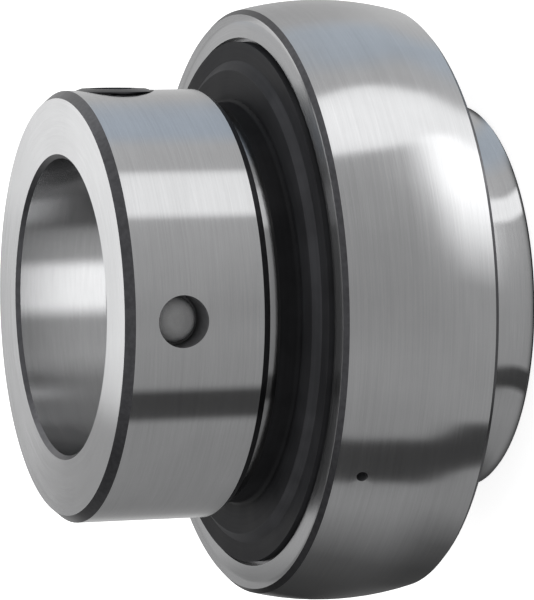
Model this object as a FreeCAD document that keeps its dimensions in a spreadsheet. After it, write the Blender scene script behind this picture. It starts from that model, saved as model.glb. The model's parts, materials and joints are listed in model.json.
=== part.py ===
import FreeCAD, Part
import math
import os
import re
import Sketcher

# Insert ball bearing with an eccentric locking collar, for a 35 mm shaft.
# The bearing's axis is Z, with the collar at the top, and the origin is the
# centre of the outer ring's spherical seat. The drift hole in the collar
# points to -Y and its grub screw to +X.

# Driving sizes: millimetres, apart from the counts, angles and ratios.
# The rings are built up from the shaft outwards and from the balls' plane
# upwards, so that a seat of 72 mm, an outer ring 19 mm wide, an inner ring
# 37.6 mm long and a bearing 51.1 mm long come out.
DRIVING = [
    ("bore_diameter", 35.0, "shaft bore of the inner ring"),
    ("ball_diameter", 11.112, "ball"),
    ("ball_count", 9, "balls in the row"),
    ("ball_play", 0.02, "clearance between a ball and each raceway"),
    ("race_wall", 3.674, "ring wall behind each raceway"),
    ("groove_ratio", 0.52, "raceway groove radius as a share of the ball's diameter"),
    ("inner_shoulder_height", 1.876, "inner ring's shoulder over its raceway"),
    ("outer_shoulder_height", 2.126, "outer ring's land over its raceway"),
    ("bore_chamfer", 0.5, "chamfer at the mouths of the shaft bore"),
    ("plain_end_chamfer", 0.3, "chamfer outside the inner ring's plain end"),
    ("plain_end_margin", 5.5, "inner ring beyond the flinger's hub, plain side"),
    ("outer_chamfer", 0.57, "chamfer from the spherical seat to each face"),
    ("seal_ledge", 1.36, "ledge in the outer ring that a seal plate rests on"),
    ("face_margin", 1.1, "outer ring's face beyond the seal plate's rim"),
    ("grease_hole_diameter", 1.3, "relubrication holes in the outer ring"),
    ("grease_hole_turn", -30.3, "first relubrication hole, turned from the drift hole"),
    ("grease_hole_spread", 120.0, "angle between the two relubrication holes"),
    ("cage_wall", 3.9, "cage, through its wall, half on each side of the balls' circle"),
    ("cage_back_wall", 1.04, "cage wall behind a ball pocket"),
    ("cage_prong_height", 2.9, "tips of the cage's prongs, from the balls' plane"),
    ("cage_relief_width", 3.0, "slot between two pockets' prongs"),
    ("cage_relief_floor", -2.4, "bottom of that slot, from the balls' plane"),
    ("cage_end_gap", 0.304, "cage's back to the seal plate"),
    ("pocket_play", 0.3, "clearance between a ball and its pocket"),
    ("seal_plate_gauge", 0.5, "steel of a seal plate"),
    ("seal_rim_height", 1.2, "rim flange of a seal plate"),
    ("seal_lip_height", 1.85, "rubber between the seal plate's hole and the shoulder"),
    ("lip_play", 0.3, "clearance between a seal lip and the inner ring"),
    ("lip_pad_reach", 1.5, "rubber on a seal plate, outwards from its hole"),
    ("lip_pad_gauge", 0.5, "rubber on a seal plate, thickness"),
    ("flinger_gap", 0.51, "outer ring's bore over the flinger's rim"),
    ("flinger_proud", 0.5, "flinger's rim stands outside the ring's face"),
    ("flinger_rim_width", 2.25, "flat outer rim of a flinger"),
    ("flinger_step_run", 1.1, "flinger's conical step, inwards"),
    ("flinger_step", 0.8, "flinger's plate stands outside its rim"),
    ("flinger_hub_length", 2.5, "flinger's hub beyond its plate"),
    ("flinger_core_gauge", 0.6, "steel plate inside a flinger"),
    ("flinger_sleeve_gauge", 0.4, "steel sleeve inside a flinger's hub"),
    ("flinger_rubber_gauge", 0.6, "rubber over a flinger's plate"),
    ("flinger_hub_rubber", 0.4, "rubber over a flinger's hub"),
    ("flinger_hub_fillet", 0.5, "rubber fillet between hub and plate"),
    ("shoulder_margin", 1.3, "inner ring's shoulder beyond the flinger's hub, collar side"),
    ("shoulder_gap", 0.3, "inner ring's shoulder to the collar's back"),
    ("eccentric_length", 4.2, "eccentric end of the inner ring"),
    ("eccentric_offset", 0.8, "its centre from the bearing's axis"),
    ("eccentric_inset", 0.65, "its high side below the shoulder"),
    ("eccentric_play", 0.35, "collar's recess around the eccentric end"),
    ("eccentric_chamfer", 0.4, "chamfer at the tip of the eccentric end"),
    ("recess_gap", 0.4, "tip of the eccentric end to the recess's floor"),
    ("collar_wall", 7.95, "locking collar, from its bore to its outside"),
    ("collar_bore_play", 0.1, "collar bore over the shaft bore, on diameter"),
    ("front_chamfer_length", 1.06, "collar's front chamfer, along the axis"),
    ("front_chamfer_depth", 0.88, "collar's front chamfer, inwards"),
    ("back_chamfer_length", 0.88, "collar's back chamfer, along the axis"),
    ("back_chamfer_depth", 0.5, "collar's back chamfer, inwards"),
    ("recess_wall", 1.575, "collar between its recess and the tapped hole"),
    ("face_wall", 2.075, "collar between the tapped hole and its face"),
    ("drift_hole_diameter", 6.0, "drift hole in the collar"),
    ("pin_ledge", 0.35, "ledge round the pin at the bottom of the drift hole"),
    ("pin_seat_length", 2.6, "seat that the round-ended pin is pressed into"),
    ("pin_floor_wall", 0.95, "collar between its bore and the pin's seat"),
    ("screw_diameter", 9.35, "grub screw, at the pitch line of its thread"),
    ("screw_play", 0.05, "clearance between the grub screw and its hole"),
    ("screw_proud", 0.2, "grub screw's head above the collar's outside"),
    ("screw_tip_gap", 0.45, "grub screw's tip outside the collar's bore"),
    ("screw_top_inset", 0.825, "cone round the flat on the grub screw's head, inwards"),
    ("screw_top_drop", 0.3, "height of that cone"),
    ("screw_point_inset", 1.575, "chamfer behind the cup point, inwards"),
    ("screw_point_chamfer", 1.2, "length of that chamfer"),
    ("screw_cup_depth", 1.0, "depth of the cup point"),
    ("socket_flats", 5.0, "hexagon socket, across flats"),
    ("socket_depth", 4.0, "hexagon socket, depth"),
]

# Sizes worked out from the driving ones
DERIVED = [
    ("bore_radius", "bore_diameter / 2"),
    ("ball_radius", "ball_diameter / 2"),
    ("pitch_radius", "bore_radius + race_wall + ball_play + ball_radius"),
    ("groove_radius", "groove_ratio * ball_diameter"),
    ("seat_radius", "pitch_radius + ball_radius + ball_play + race_wall"),
    ("shoulder_radius", "bore_radius + race_wall + inner_shoulder_height"),
    ("land_radius", "seat_radius - race_wall - outer_shoulder_height"),
    ("seal_bore_radius", "land_radius + seal_ledge"),
    ("inner_groove_centre", "bore_radius + race_wall + groove_radius"),
    ("outer_groove_centre", "seat_radius - race_wall - groove_radius"),
    ("inner_groove_edge", "sqrt(groove_radius ^ 2 - (inner_groove_centre - shoulder_radius) ^ 2)"),
    ("outer_groove_edge", "sqrt(groove_radius ^ 2 - (land_radius - outer_groove_centre) ^ 2)"),
    ("pocket_radius", "ball_radius + pocket_play"),
    ("cage_inner", "pitch_radius - cage_wall / 2"),
    ("cage_outer", "pitch_radius + cage_wall / 2"),
    ("cage_back", "pocket_radius + cage_back_wall"),
    ("seal_seat_place", "cage_back + cage_end_gap"),
    ("plate_top", "seal_seat_place + seal_plate_gauge"),
    ("rim_top", "seal_seat_place + seal_rim_height"),
    ("outer_half", "rim_top + face_margin"),
    ("seat_edge_place", "outer_half - outer_chamfer"),
    ("seat_edge_radius", "sqrt(seat_radius ^ 2 - seat_edge_place ^ 2)"),
    ("face_edge_radius", "seat_edge_radius - outer_chamfer"),
    ("grease_hole_place", "(outer_groove_edge + seal_seat_place) / 2"),
    ("plate_hole", "shoulder_radius + seal_lip_height"),
    ("lip_radius", "shoulder_radius + lip_play"),
    ("pad_top", "plate_top + lip_pad_gauge"),
    ("flinger_radius", "seal_bore_radius - flinger_gap"),
    ("step_outer", "flinger_radius - flinger_rim_width"),
    ("step_inner", "step_outer - flinger_step_run"),
    ("flinger_rim_top", "outer_half + flinger_proud"),
    ("flinger_plate_top", "flinger_rim_top + flinger_step"),
    ("flinger_hub_top", "flinger_plate_top + flinger_hub_length"),
    ("core_rim_top", "flinger_rim_top - flinger_rubber_gauge"),
    ("core_plate_top", "flinger_plate_top - flinger_rubber_gauge"),
    ("core_hub_top", "flinger_hub_top - flinger_hub_rubber"),
    ("core_rim_radius", "flinger_radius - flinger_rubber_gauge"),
    ("sleeve_radius", "shoulder_radius + flinger_sleeve_gauge"),
    ("hub_radius", "sleeve_radius + flinger_hub_rubber"),
    ("plain_end", "flinger_hub_top + plain_end_margin"),
    ("shoulder_end", "flinger_hub_top + shoulder_margin"),
    ("eccentric_end", "shoulder_end + eccentric_length"),
    ("eccentric_radius", "shoulder_radius - eccentric_offset - eccentric_inset"),
    ("collar_bore", "bore_radius + collar_bore_play / 2"),
    ("collar_radius", "collar_bore + collar_wall"),
    ("collar_back", "shoulder_end + shoulder_gap"),
    ("recess_floor", "eccentric_end + recess_gap"),
    ("screw_radius", "screw_diameter / 2"),
    ("screw_hole_radius", "screw_radius + screw_play"),
    ("fastener_place", "recess_floor + recess_wall + screw_hole_radius"),
    ("collar_face", "fastener_place + screw_hole_radius + face_wall"),
    ("pin_radius", "drift_hole_diameter / 2 - pin_ledge"),
    ("pin_floor", "collar_bore + pin_floor_wall"),
    ("drift_floor", "pin_floor + pin_seat_length"),
    ("screw_head", "collar_radius + screw_proud"),
    ("screw_length", "screw_head - collar_bore - screw_tip_gap"),
    ("socket_corner", "socket_flats / sqrt(3)"),
]

SIDES = [("collar_side", 0.0), ("plain_side", 180.0)]
ALIAS = re.compile(r"\b(" + "|".join(row[0] for row in DRIVING + DERIVED) + r")\b")

doc = FreeCAD.newDocument("insert_bearing")
sheet = doc.addObject("Spreadsheet::Sheet", "Sizes")


def fill_sheet():
    row = 1
    for alias, size, meaning in DRIVING:
        sheet.set(f"A{row}", meaning)
        sheet.set(f"B{row}", str(size))
        sheet.setAlias(f"B{row}", alias)
        row += 1
    for alias, formula in DERIVED:
        sheet.set(f"A{row}", alias.replace("_", " "))
        sheet.set(f"B{row}", "=" + formula)
        sheet.setAlias(f"B{row}", alias)
        row += 1
    doc.recompute()


def bound(expression):
    """The expression as other objects write it, with the sheet's name before each alias."""
    return ALIAS.sub(lambda found: "Sizes." + found.group(0), expression)


def number(expression):
    found = sheet.evalExpression(expression)
    return float(getattr(found, "Value", found))


def origin_feature(body, role):
    return next(item for item in body.Origin.OriginFeatures if item.Role == role)


def new_body(name, turn_axis=None, turn=0.0):
    body = doc.addObject("PartDesign::Body", name)
    body.Label = name
    if turn_axis is not None:
        body.Placement = FreeCAD.Placement(FreeCAD.Vector(), FreeCAD.Rotation(turn_axis, turn))
    return body


def new_sketch(body, name, role, lift=None):
    """A sketch on one of the body's own origin planes, moved along its normal by lift."""
    sketch = body.newObject("Sketcher::SketchObject", body.Name + "_" + name)
    sketch.AttachmentSupport = [(origin_feature(body, role), "")]
    sketch.MapMode = "FlatFace"
    if lift:
        sketch.setExpression("AttachmentOffset.Base.z", bound(lift))
    return sketch


def bind(sketch, kind, first, second, expression):
    """A driven distance from the sketch's origin to a point, or a driven radius."""
    size = number(expression)
    if kind == "Radius":
        index = sketch.addConstraint(Sketcher.Constraint(kind, first, size))
    else:
        index = sketch.addConstraint(Sketcher.Constraint(kind, -1, 1, first, second, size))
    sketch.setExpression(f"Constraints[{index}]", bound(expression))


def pin_point(sketch, geometry, vertex, x, y):
    """Holds one vertex at (x, y), where 0 means on the axis itself."""
    if x == "0":
        sketch.addConstraint(Sketcher.Constraint("PointOnObject", geometry, vertex, -2))
    else:
        bind(sketch, "DistanceX", geometry, vertex, x)
    if y == "0":
        sketch.addConstraint(Sketcher.Constraint("PointOnObject", geometry, vertex, -1))
    else:
        bind(sketch, "DistanceY", geometry, vertex, y)


def arc_between(start, end, radius, side):
    """Arc from start to end with its centre on the left (side 1) or right (side -1) of the way."""
    middle = (start + end) / 2
    half = (end - start).Length / 2
    way = (end - start).normalize()
    left = FreeCAD.Vector(-way.y, way.x, 0)
    centre = middle + left * side * math.sqrt(radius**2 - half**2)
    angles = [math.atan2(point.y - centre.y, point.x - centre.x) for point in (start, end)]
    if side < 0:
        angles.reverse()
    return Part.ArcOfCircle(Part.Circle(centre, FreeCAD.Vector(0, 0, 1), radius), *angles)


def draw(sketch, outline):
    """Closes an outline of (x, y) points; (x, y, radius, side) is reached by an arc."""
    points = [FreeCAD.Vector(number(step[0]), number(step[1]), 0) for step in outline]
    starts = []
    ends = []
    for index, step in enumerate(outline):
        start = points[index - 1]
        end = points[index]
        if len(step) == 2:
            geometry = sketch.addGeometry(Part.LineSegment(start, end), False)
            starts.append((geometry, 1))
            ends.append((geometry, 2))
        else:
            arc = arc_between(start, end, number(step[2]), step[3])
            geometry = sketch.addGeometry(arc, False)
            starts.append((geometry, 1 if step[3] > 0 else 2))
            ends.append((geometry, 2 if step[3] > 0 else 1))
    for index, step in enumerate(outline):
        after = starts[(index + 1) % len(outline)]
        sketch.addConstraint(Sketcher.Constraint("Coincident", *ends[index], *after))
        pin_point(sketch, *ends[index], step[0], step[1])
        if len(step) == 4:
            bind(sketch, "Radius", ends[index][0], None, step[2])


def draw_circle(sketch, x, y, radius):
    centre = FreeCAD.Vector(number(x), number(y), 0)
    circle = Part.Circle(centre, FreeCAD.Vector(0, 0, 1), number(radius))
    geometry = sketch.addGeometry(circle, False)
    pin_point(sketch, geometry, 3, x, y)
    bind(sketch, "Radius", geometry, None, radius)


def turned(body, outline, name="section"):
    """A solid turned about the body's Z axis from an outline of (radius, height) points."""
    sketch = new_sketch(body, name, "XZ_Plane")
    draw(sketch, outline)
    feature = body.newObject("PartDesign::Revolution", body.Name + "_turned")
    feature.Profile = sketch
    feature.ReferenceAxis = (sketch, ["V_Axis"])
    feature.Angle = 360.0
    return feature


def pad(body, sketch, length):
    feature = body.newObject("PartDesign::Pad", sketch.Name + "_pad")
    feature.Profile = sketch
    feature.setExpression("Length", bound(length))
    return feature


def pocket(body, sketch, length=None, reverse=False, both=False):
    """Cuts against the sketch's normal, or along it with reverse; without a length, all the way."""
    feature = body.newObject("PartDesign::Pocket", sketch.Name + "_pocket")
    feature.Profile = sketch
    feature.Type = "ThroughAll" if length is None else "Length"
    if length is not None:
        feature.setExpression("Length", bound(length))
    feature.Reversed = reverse
    feature.Midplane = both
    return feature


def polar_pattern(body, originals, angle, count):
    pattern = body.newObject("PartDesign::PolarPattern", body.Name + "_pattern")
    pattern.Originals = originals
    pattern.Axis = (origin_feature(body, "Z_Axis"), [""])
    pattern.setExpression("Angle", bound(angle))
    pattern.setExpression("Occurrences", bound(count))
    body.Tip = pattern
    return pattern


def chamfer_at(body, base, radius, height, size, name):
    """Chamfers the round edge of this radius that lies at this height."""
    doc.recompute()
    edges = []
    for index, edge in enumerate(base.Shape.Edges, 1):
        curve = edge.Curve
        if not isinstance(curve, Part.Circle):
            continue
        same_radius = abs(curve.Radius - number(radius)) < 1e-4
        same_height = abs(curve.Center.z - number(height)) < 1e-4
        if same_radius and same_height:
            edges.append(f"Edge{index}")
    feature = body.newObject("PartDesign::Chamfer", body.Name + "_" + name)
    feature.Base = (base, edges)
    feature.setExpression("Size", bound(size))
    return feature


def outer_ring():
    """Spherical outside, raceway, and a counterbore at each face for the seals."""
    body = new_body("outer_ring", FreeCAD.Vector(0, 0, 1))
    body.setExpression("Placement.Rotation.Angle", bound("grease_hole_turn"))
    turned(
        body,
        [
            ("seal_bore_radius", "outer_half"),
            ("seal_bore_radius", "seal_seat_place"),
            ("land_radius", "seal_seat_place"),
            ("land_radius", "outer_groove_edge"),
            ("land_radius", "-outer_groove_edge", "groove_radius", -1),
            ("land_radius", "-seal_seat_place"),
            ("seal_bore_radius", "-seal_seat_place"),
            ("seal_bore_radius", "-outer_half"),
            ("face_edge_radius", "-outer_half"),
            ("seat_edge_radius", "-seat_edge_place"),
            ("seat_edge_radius", "seat_edge_place", "seat_radius", 1),
            ("face_edge_radius", "outer_half"),
        ],
    )
    hole = new_sketch(body, "grease_hole", "XZ_Plane")
    draw_circle(hole, "0", "grease_hole_place", "grease_hole_diameter / 2")
    drilled = pocket(body, hole, reverse=True)
    polar_pattern(body, [drilled], "-grease_hole_spread", "2")


def inner_ring():
    """Long ring with a raceway, and an eccentric end that the collar locks on."""
    body = new_body("inner_ring")
    turned(
        body,
        [
            ("shoulder_radius", "inner_groove_edge", "groove_radius", -1),
            ("shoulder_radius", "shoulder_end"),
            ("bore_radius", "shoulder_end"),
            ("bore_radius", "bore_chamfer - plain_end"),
            ("bore_radius + bore_chamfer", "-plain_end"),
            ("shoulder_radius - plain_end_chamfer", "-plain_end"),
            ("shoulder_radius", "plain_end_chamfer - plain_end"),
            ("shoulder_radius", "-inner_groove_edge"),
        ],
    )
    end = new_sketch(body, "eccentric", "XY_Plane", "shoulder_end")
    draw_circle(end, "0", "eccentric_offset", "eccentric_radius")
    pad(body, end, "eccentric_length")
    bore = new_sketch(body, "bore", "XY_Plane")
    draw_circle(bore, "0", "0", "bore_radius")
    bored = pocket(body, bore, both=True)
    rim = chamfer_at(body, bored, "eccentric_radius", "eccentric_end", "eccentric_chamfer", "rim")
    chamfer_at(body, rim, "bore_radius", "eccentric_end", "bore_chamfer", "mouth")


def cage():
    """Snap cage: one closed ring behind the balls, and two prongs round each ball."""
    body = new_body("cage")
    turned(
        body,
        [
            ("cage_inner", "-cage_back"),
            ("cage_outer", "-cage_back"),
            ("cage_outer", "cage_prong_height"),
            ("cage_inner", "cage_prong_height"),
        ],
    )
    pocket_cut = body.newObject("PartDesign::SubtractiveSphere", "cage_pocket")
    pocket_cut.setExpression("Radius", bound("pocket_radius"))
    pocket_cut.AttachmentSupport = [(origin_feature(body, "XY_Plane"), "")]
    pocket_cut.MapMode = "FlatFace"
    pocket_cut.setExpression("AttachmentOffset.Base.x", bound("pitch_radius"))
    slot = new_sketch(body, "relief", "YZ_Plane")
    slot.AttachmentOffset = FreeCAD.Placement(
        FreeCAD.Vector(),
        FreeCAD.Rotation(FreeCAD.Vector(0, 1, 0), 180.0 / number("ball_count")),
    )
    slot.setExpression("AttachmentOffset.Rotation.Angle", bound("180 / ball_count"))
    draw(
        slot,
        [
            ("-cage_relief_width / 2", "cage_relief_floor"),
            ("cage_relief_width / 2", "cage_relief_floor", "cage_relief_width / 2 * 1.01", 1),
            ("cage_relief_width / 2", "cage_prong_height + 1"),
            ("-cage_relief_width / 2", "cage_prong_height + 1"),
        ],
    )
    relief = pocket(body, slot, reverse=True)
    polar_pattern(body, [pocket_cut, relief], "360", "ball_count")


def balls():
    for index in range(int(number("ball_count"))):
        ball = doc.addObject("Part::Sphere", f"ball_{index + 1}")
        ball.Label = ball.Name
        ball.setExpression("Radius", bound("ball_radius"))
        turn = f"{index} * 360 / ball_count"
        ball.setExpression("Placement.Base.x", bound(f"pitch_radius * cos({turn})"))
        ball.setExpression("Placement.Base.y", bound(f"pitch_radius * sin({turn})"))


def seal_plate(side, turn):
    """Pressed steel plate with a rim flange, held in the outer ring's counterbore."""
    body = new_body("seal_plate_" + side, FreeCAD.Vector(1, 0, 0), turn)
    turned(
        body,
        [
            ("plate_hole", "plate_top"),
            ("plate_hole", "seal_seat_place"),
            ("seal_bore_radius", "seal_seat_place"),
            ("seal_bore_radius", "rim_top"),
            ("seal_bore_radius - seal_plate_gauge", "rim_top"),
            ("seal_bore_radius - seal_plate_gauge", "plate_top"),
        ],
    )


def seal_lip(side, turn):
    """Rubber moulded round the plate's hole, with two lips beside the inner ring."""
    body = new_body("seal_lip_" + side, FreeCAD.Vector(1, 0, 0), turn)
    turned(
        body,
        [
            ("plate_hole + lip_pad_reach", "plate_top"),
            ("plate_hole + lip_pad_reach", "pad_top"),
            ("plate_hole", "pad_top"),
            ("lip_radius + 0.8 * lip_pad_gauge", "pad_top + 1.4 * lip_pad_gauge"),
            ("lip_radius", "pad_top + 1.1 * lip_pad_gauge"),
            ("lip_radius + 1.2 * lip_pad_gauge", "pad_top"),
            ("lip_radius", "plate_top"),
            ("lip_radius", "seal_seat_place"),
            ("plate_hole", "seal_seat_place"),
            ("plate_hole", "plate_top"),
        ],
    )


def flinger_core(side, turn):
    """Pressed steel flinger: a sleeve on the inner ring and a stepped plate."""
    body = new_body("flinger_core_" + side, FreeCAD.Vector(1, 0, 0), turn)
    turned(
        body,
        [
            ("shoulder_radius", "core_hub_top"),
            ("shoulder_radius", "core_plate_top - flinger_core_gauge"),
            ("step_inner", "core_plate_top - flinger_core_gauge"),
            ("step_outer", "core_rim_top - flinger_core_gauge"),
            ("core_rim_radius", "core_rim_top - flinger_core_gauge"),
            ("core_rim_radius", "core_rim_top"),
            ("step_outer", "core_rim_top"),
            ("step_inner", "core_plate_top"),
            ("sleeve_radius", "core_plate_top"),
            ("sleeve_radius", "core_hub_top"),
        ],
    )


def flinger_rubber(side, turn):
    """Rubber bonded over the flinger's outside, round its rim and over the sleeve's end."""
    body = new_body("flinger_rubber_" + side, FreeCAD.Vector(1, 0, 0), turn)
    turned(
        body,
        [
            ("shoulder_radius", "flinger_hub_top"),
            ("shoulder_radius", "core_hub_top"),
            ("sleeve_radius", "core_hub_top"),
            ("sleeve_radius", "core_plate_top"),
            ("step_inner", "core_plate_top"),
            ("step_outer", "core_rim_top"),
            ("core_rim_radius", "core_rim_top"),
            ("core_rim_radius", "core_rim_top - flinger_core_gauge"),
            ("flinger_radius", "core_rim_top - flinger_core_gauge"),
            ("flinger_radius", "flinger_rim_top"),
            ("step_outer", "flinger_rim_top"),
            ("step_inner", "flinger_plate_top"),
            ("hub_radius + flinger_hub_fillet", "flinger_plate_top"),
            ("hub_radius", "flinger_plate_top + flinger_hub_fillet", "flinger_hub_fillet", -1),
            ("hub_radius", "flinger_hub_top"),
        ],
    )


def locking_collar():
    """Turned collar with an eccentric recess at its back and two radial holes."""
    body = new_body("locking_collar")
    turned(
        body,
        [
            ("collar_bore", "collar_back"),
            ("collar_radius - back_chamfer_depth", "collar_back"),
            ("collar_radius", "collar_back + back_chamfer_length"),
            ("collar_radius", "collar_face - front_chamfer_length"),
            ("collar_radius - front_chamfer_depth", "collar_face"),
            ("collar_bore + bore_chamfer", "collar_face"),
            ("collar_bore", "collar_face - bore_chamfer"),
        ],
    )
    recess = new_sketch(body, "recess", "XY_Plane", "recess_floor")
    draw_circle(recess, "0", "eccentric_offset", "eccentric_radius + eccentric_play")
    pocket(body, recess)
    drift = new_sketch(body, "drift_hole", "XZ_Plane", "drift_floor")
    draw_circle(drift, "0", "fastener_place", "drift_hole_diameter / 2")
    pocket(body, drift, reverse=True)
    seat = new_sketch(body, "pin_seat", "XZ_Plane", "pin_floor")
    draw_circle(seat, "0", "fastener_place", "pin_radius")
    pocket(body, seat, reverse=True)
    tapped = new_sketch(body, "screw_hole", "YZ_Plane")
    draw_circle(tapped, "0", "fastener_place", "screw_hole_radius")
    pocket(body, tapped, reverse=True)


def domed_pin():
    """Round-ended pin, pressed into its seat at the bottom of the drift hole."""
    body = new_body("domed_pin", FreeCAD.Vector(1, 0, 0), 90.0)
    body.setExpression("Placement.Base.y", bound("-pin_floor"))
    body.setExpression("Placement.Base.z", bound("fastener_place"))
    turned(
        body,
        [
            ("0", "0"),
            ("pin_radius", "0"),
            ("pin_radius", "pin_seat_length"),
            ("0", "pin_seat_length + pin_radius", "pin_radius", 1),
        ],
    )


def grub_screw():
    """Hexagon socket grub screw with a cup point; its thread is drawn at the pitch line."""
    body = new_body("grub_screw", FreeCAD.Vector(0, 1, 0), 90.0)
    body.setExpression("Placement.Base.x", bound("screw_head"))
    body.setExpression("Placement.Base.z", bound("fastener_place"))
    turned(
        body,
        [
            ("0", "0"),
            ("0", "screw_cup_depth - screw_length"),
            ("screw_radius - screw_point_inset", "-screw_length"),
            ("screw_radius", "screw_point_chamfer - screw_length"),
            ("screw_radius", "-screw_top_drop"),
            ("screw_radius - screw_top_inset", "0"),
        ],
    )
    socket = new_sketch(body, "socket", "XY_Plane")
    corners = []
    for index in range(6):
        turn = 60 * index
        corners.append((f"socket_corner * cos({turn} deg)", f"socket_corner * sin({turn} deg)"))
    corners[0] = ("socket_corner", "0")
    corners[3] = ("-socket_corner", "0")
    draw(socket, corners)
    pocket(body, socket, "socket_depth")


def export_parts():
    """Writes each sub-part, once every object has been computed without a fault."""
    doc.recompute()
    for item in doc.Objects:
        if "Invalid" in item.State or "Error" in item.State:
            raise RuntimeError(f"{item.Label} was not computed: {item.State}")
    os.makedirs("parts", exist_ok=True)
    pieces = [item for item in doc.Objects if item.isDerivedFrom("PartDesign::Body")]
    pieces += [item for item in doc.Objects if item.isDerivedFrom("Part::Sphere")]
    for piece in pieces:
        shape = piece.Shape
        if shape.isNull() or not shape.isValid() or len(shape.Solids) != 1:
            raise RuntimeError(f"{piece.Label} is not one sound solid")
        shape.exportStep(f"parts/{piece.Label}.step")
        print(f"{piece.Label:28s} {shape.Volume:10.1f} mm3")


fill_sheet()
outer_ring()
inner_ring()
cage()
balls()
for side, turn in SIDES:
    seal_plate(side, turn)
    seal_lip(side, turn)
    flinger_core(side, turn)
    flinger_rubber(side, turn)
locking_collar()
domed_pin()
grub_screw()
export_parts()
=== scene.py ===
"""Looks and studio of an insert bearing with an eccentric locking collar.

Every length is in metres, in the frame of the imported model: the bearing
stands on its plain end, its axis is Z, the collar is at the top, the drift
hole faces -Y and the grub screw +X.
"""

import json
import math

import bmesh
import bpy
from bpy.props import FloatProperty, FloatVectorProperty, IntProperty, PointerProperty
from mathutils import Matrix, Vector


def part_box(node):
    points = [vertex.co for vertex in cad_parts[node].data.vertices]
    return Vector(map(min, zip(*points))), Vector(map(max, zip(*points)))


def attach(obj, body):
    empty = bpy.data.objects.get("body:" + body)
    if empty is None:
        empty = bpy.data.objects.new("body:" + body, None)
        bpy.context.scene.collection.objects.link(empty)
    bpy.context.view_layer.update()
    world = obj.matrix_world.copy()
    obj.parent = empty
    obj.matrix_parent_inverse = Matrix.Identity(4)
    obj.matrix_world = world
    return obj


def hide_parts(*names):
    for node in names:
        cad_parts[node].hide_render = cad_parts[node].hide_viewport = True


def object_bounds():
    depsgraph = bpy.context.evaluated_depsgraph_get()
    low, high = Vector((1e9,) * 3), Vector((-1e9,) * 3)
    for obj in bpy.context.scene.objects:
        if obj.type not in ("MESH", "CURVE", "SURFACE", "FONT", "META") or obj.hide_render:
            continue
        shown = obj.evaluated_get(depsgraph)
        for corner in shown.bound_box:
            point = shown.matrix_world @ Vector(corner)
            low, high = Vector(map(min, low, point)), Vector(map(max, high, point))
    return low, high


bl_info = {
    "name": "Insert bearing looks",
    "version": (1, 0, 0),
    "blender": (4, 5, 0),
    "location": "3D View > Sidebar > Bearing",
    "description": "Steel, rubber and polymer finishes for an insert bearing, and its studio",
    "category": "Object",
}

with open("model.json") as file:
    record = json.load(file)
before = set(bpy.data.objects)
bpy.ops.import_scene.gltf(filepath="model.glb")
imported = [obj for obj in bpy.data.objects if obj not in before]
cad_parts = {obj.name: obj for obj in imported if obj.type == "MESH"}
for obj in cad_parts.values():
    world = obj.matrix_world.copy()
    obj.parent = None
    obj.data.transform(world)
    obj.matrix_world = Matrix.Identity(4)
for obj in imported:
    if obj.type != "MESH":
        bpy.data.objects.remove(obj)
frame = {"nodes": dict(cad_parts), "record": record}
CAD_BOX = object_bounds()
MM = 0.001
SIDES = ("collar_side", "plain_side")
RING_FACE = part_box("outer_ring")[1].z
COLLAR_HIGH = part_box("locking_collar")[1]
SHOULDER_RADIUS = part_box("inner_ring")[1].x
FLINGER_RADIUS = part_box("flinger_rubber_collar_side")[1].x
SEAL_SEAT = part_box("seal_plate_collar_side")[0].z
PIN_LOW, PIN_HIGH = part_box("domed_pin")
PIN_RADIUS = (PIN_HIGH.x - PIN_LOW.x) / 2
SCREW_LOW, SCREW_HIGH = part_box("grub_screw")
SCREW_CREST = (SCREW_HIGH.z - SCREW_LOW.z) / 2
HOLE_HEIGHT = (SCREW_LOW.z + SCREW_HIGH.z) / 2
FLOOR_HEIGHT = CAD_BOX[0].z
BORE_RADIUS = frame["record"]["mounts"][0]["dims"]["r_mm"] * MM
WHITE = (1.0, 1.0, 1.0)
SKY = (0.81, 0.90, 1.0)
BLUE_SHIFT = (-0.14, -0.04, 0.08)


class SteelFinish(bpy.types.PropertyGroup):
    ground: FloatVectorProperty(
        name="Ground steel",
        description="Colour of the ground rings and of the collar",
        subtype="COLOR",
        default=(0.46, 0.462, 0.468),
    )
    # This colour also paints shade onto the outer ring's seal seats.
    unground: FloatVectorProperty(
        name="Unground steel",
        description="Colour of the chamfers and of the outer ring's holes, dark from hardening",
        subtype="COLOR",
        default=(0.075, 0.075, 0.08),
    )
    drilled: FloatVectorProperty(
        name="Drilled steel",
        description="Colour of the walls of the collar's holes",
        subtype="COLOR",
        default=(0.125, 0.125, 0.13),
    )
    polished: FloatVectorProperty(
        name="Polished steel",
        description="Colour of the balls",
        subtype="COLOR",
        default=(0.72, 0.72, 0.73),
    )
    sheet: FloatVectorProperty(
        name="Sheet steel",
        description="Colour of the pressed seal plates and flinger cores",
        subtype="COLOR",
        default=(0.5, 0.5, 0.51),
    )
    pin: FloatVectorProperty(
        name="Pin steel",
        description="Colour of the round-ended pin in the collar",
        subtype="COLOR",
        default=(0.52, 0.52, 0.525),
    )
    oxide: FloatVectorProperty(
        name="Black oxide",
        description="Colour of the grub screw",
        subtype="COLOR",
        default=(0.028, 0.028, 0.03),
    )
    roughness: FloatProperty(
        name="Roughness",
        description="Roughness of the ground steel",
        default=0.2,
        min=0.0,
        max=1.0,
        subtype="FACTOR",
    )
    unground_roughness: FloatProperty(
        name="Unground roughness",
        description="Roughness that chamfers and holes have beyond that of the ground steel",
        default=0.16,
        min=0.0,
        max=1.0,
        subtype="FACTOR",
    )
    grain_pitch: FloatProperty(
        name="Grain pitch",
        description="Distance between the finest grinding marks",
        default=0.055 * MM,
        min=0.01 * MM,
        unit="LENGTH",
        precision=5,
    )


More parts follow.
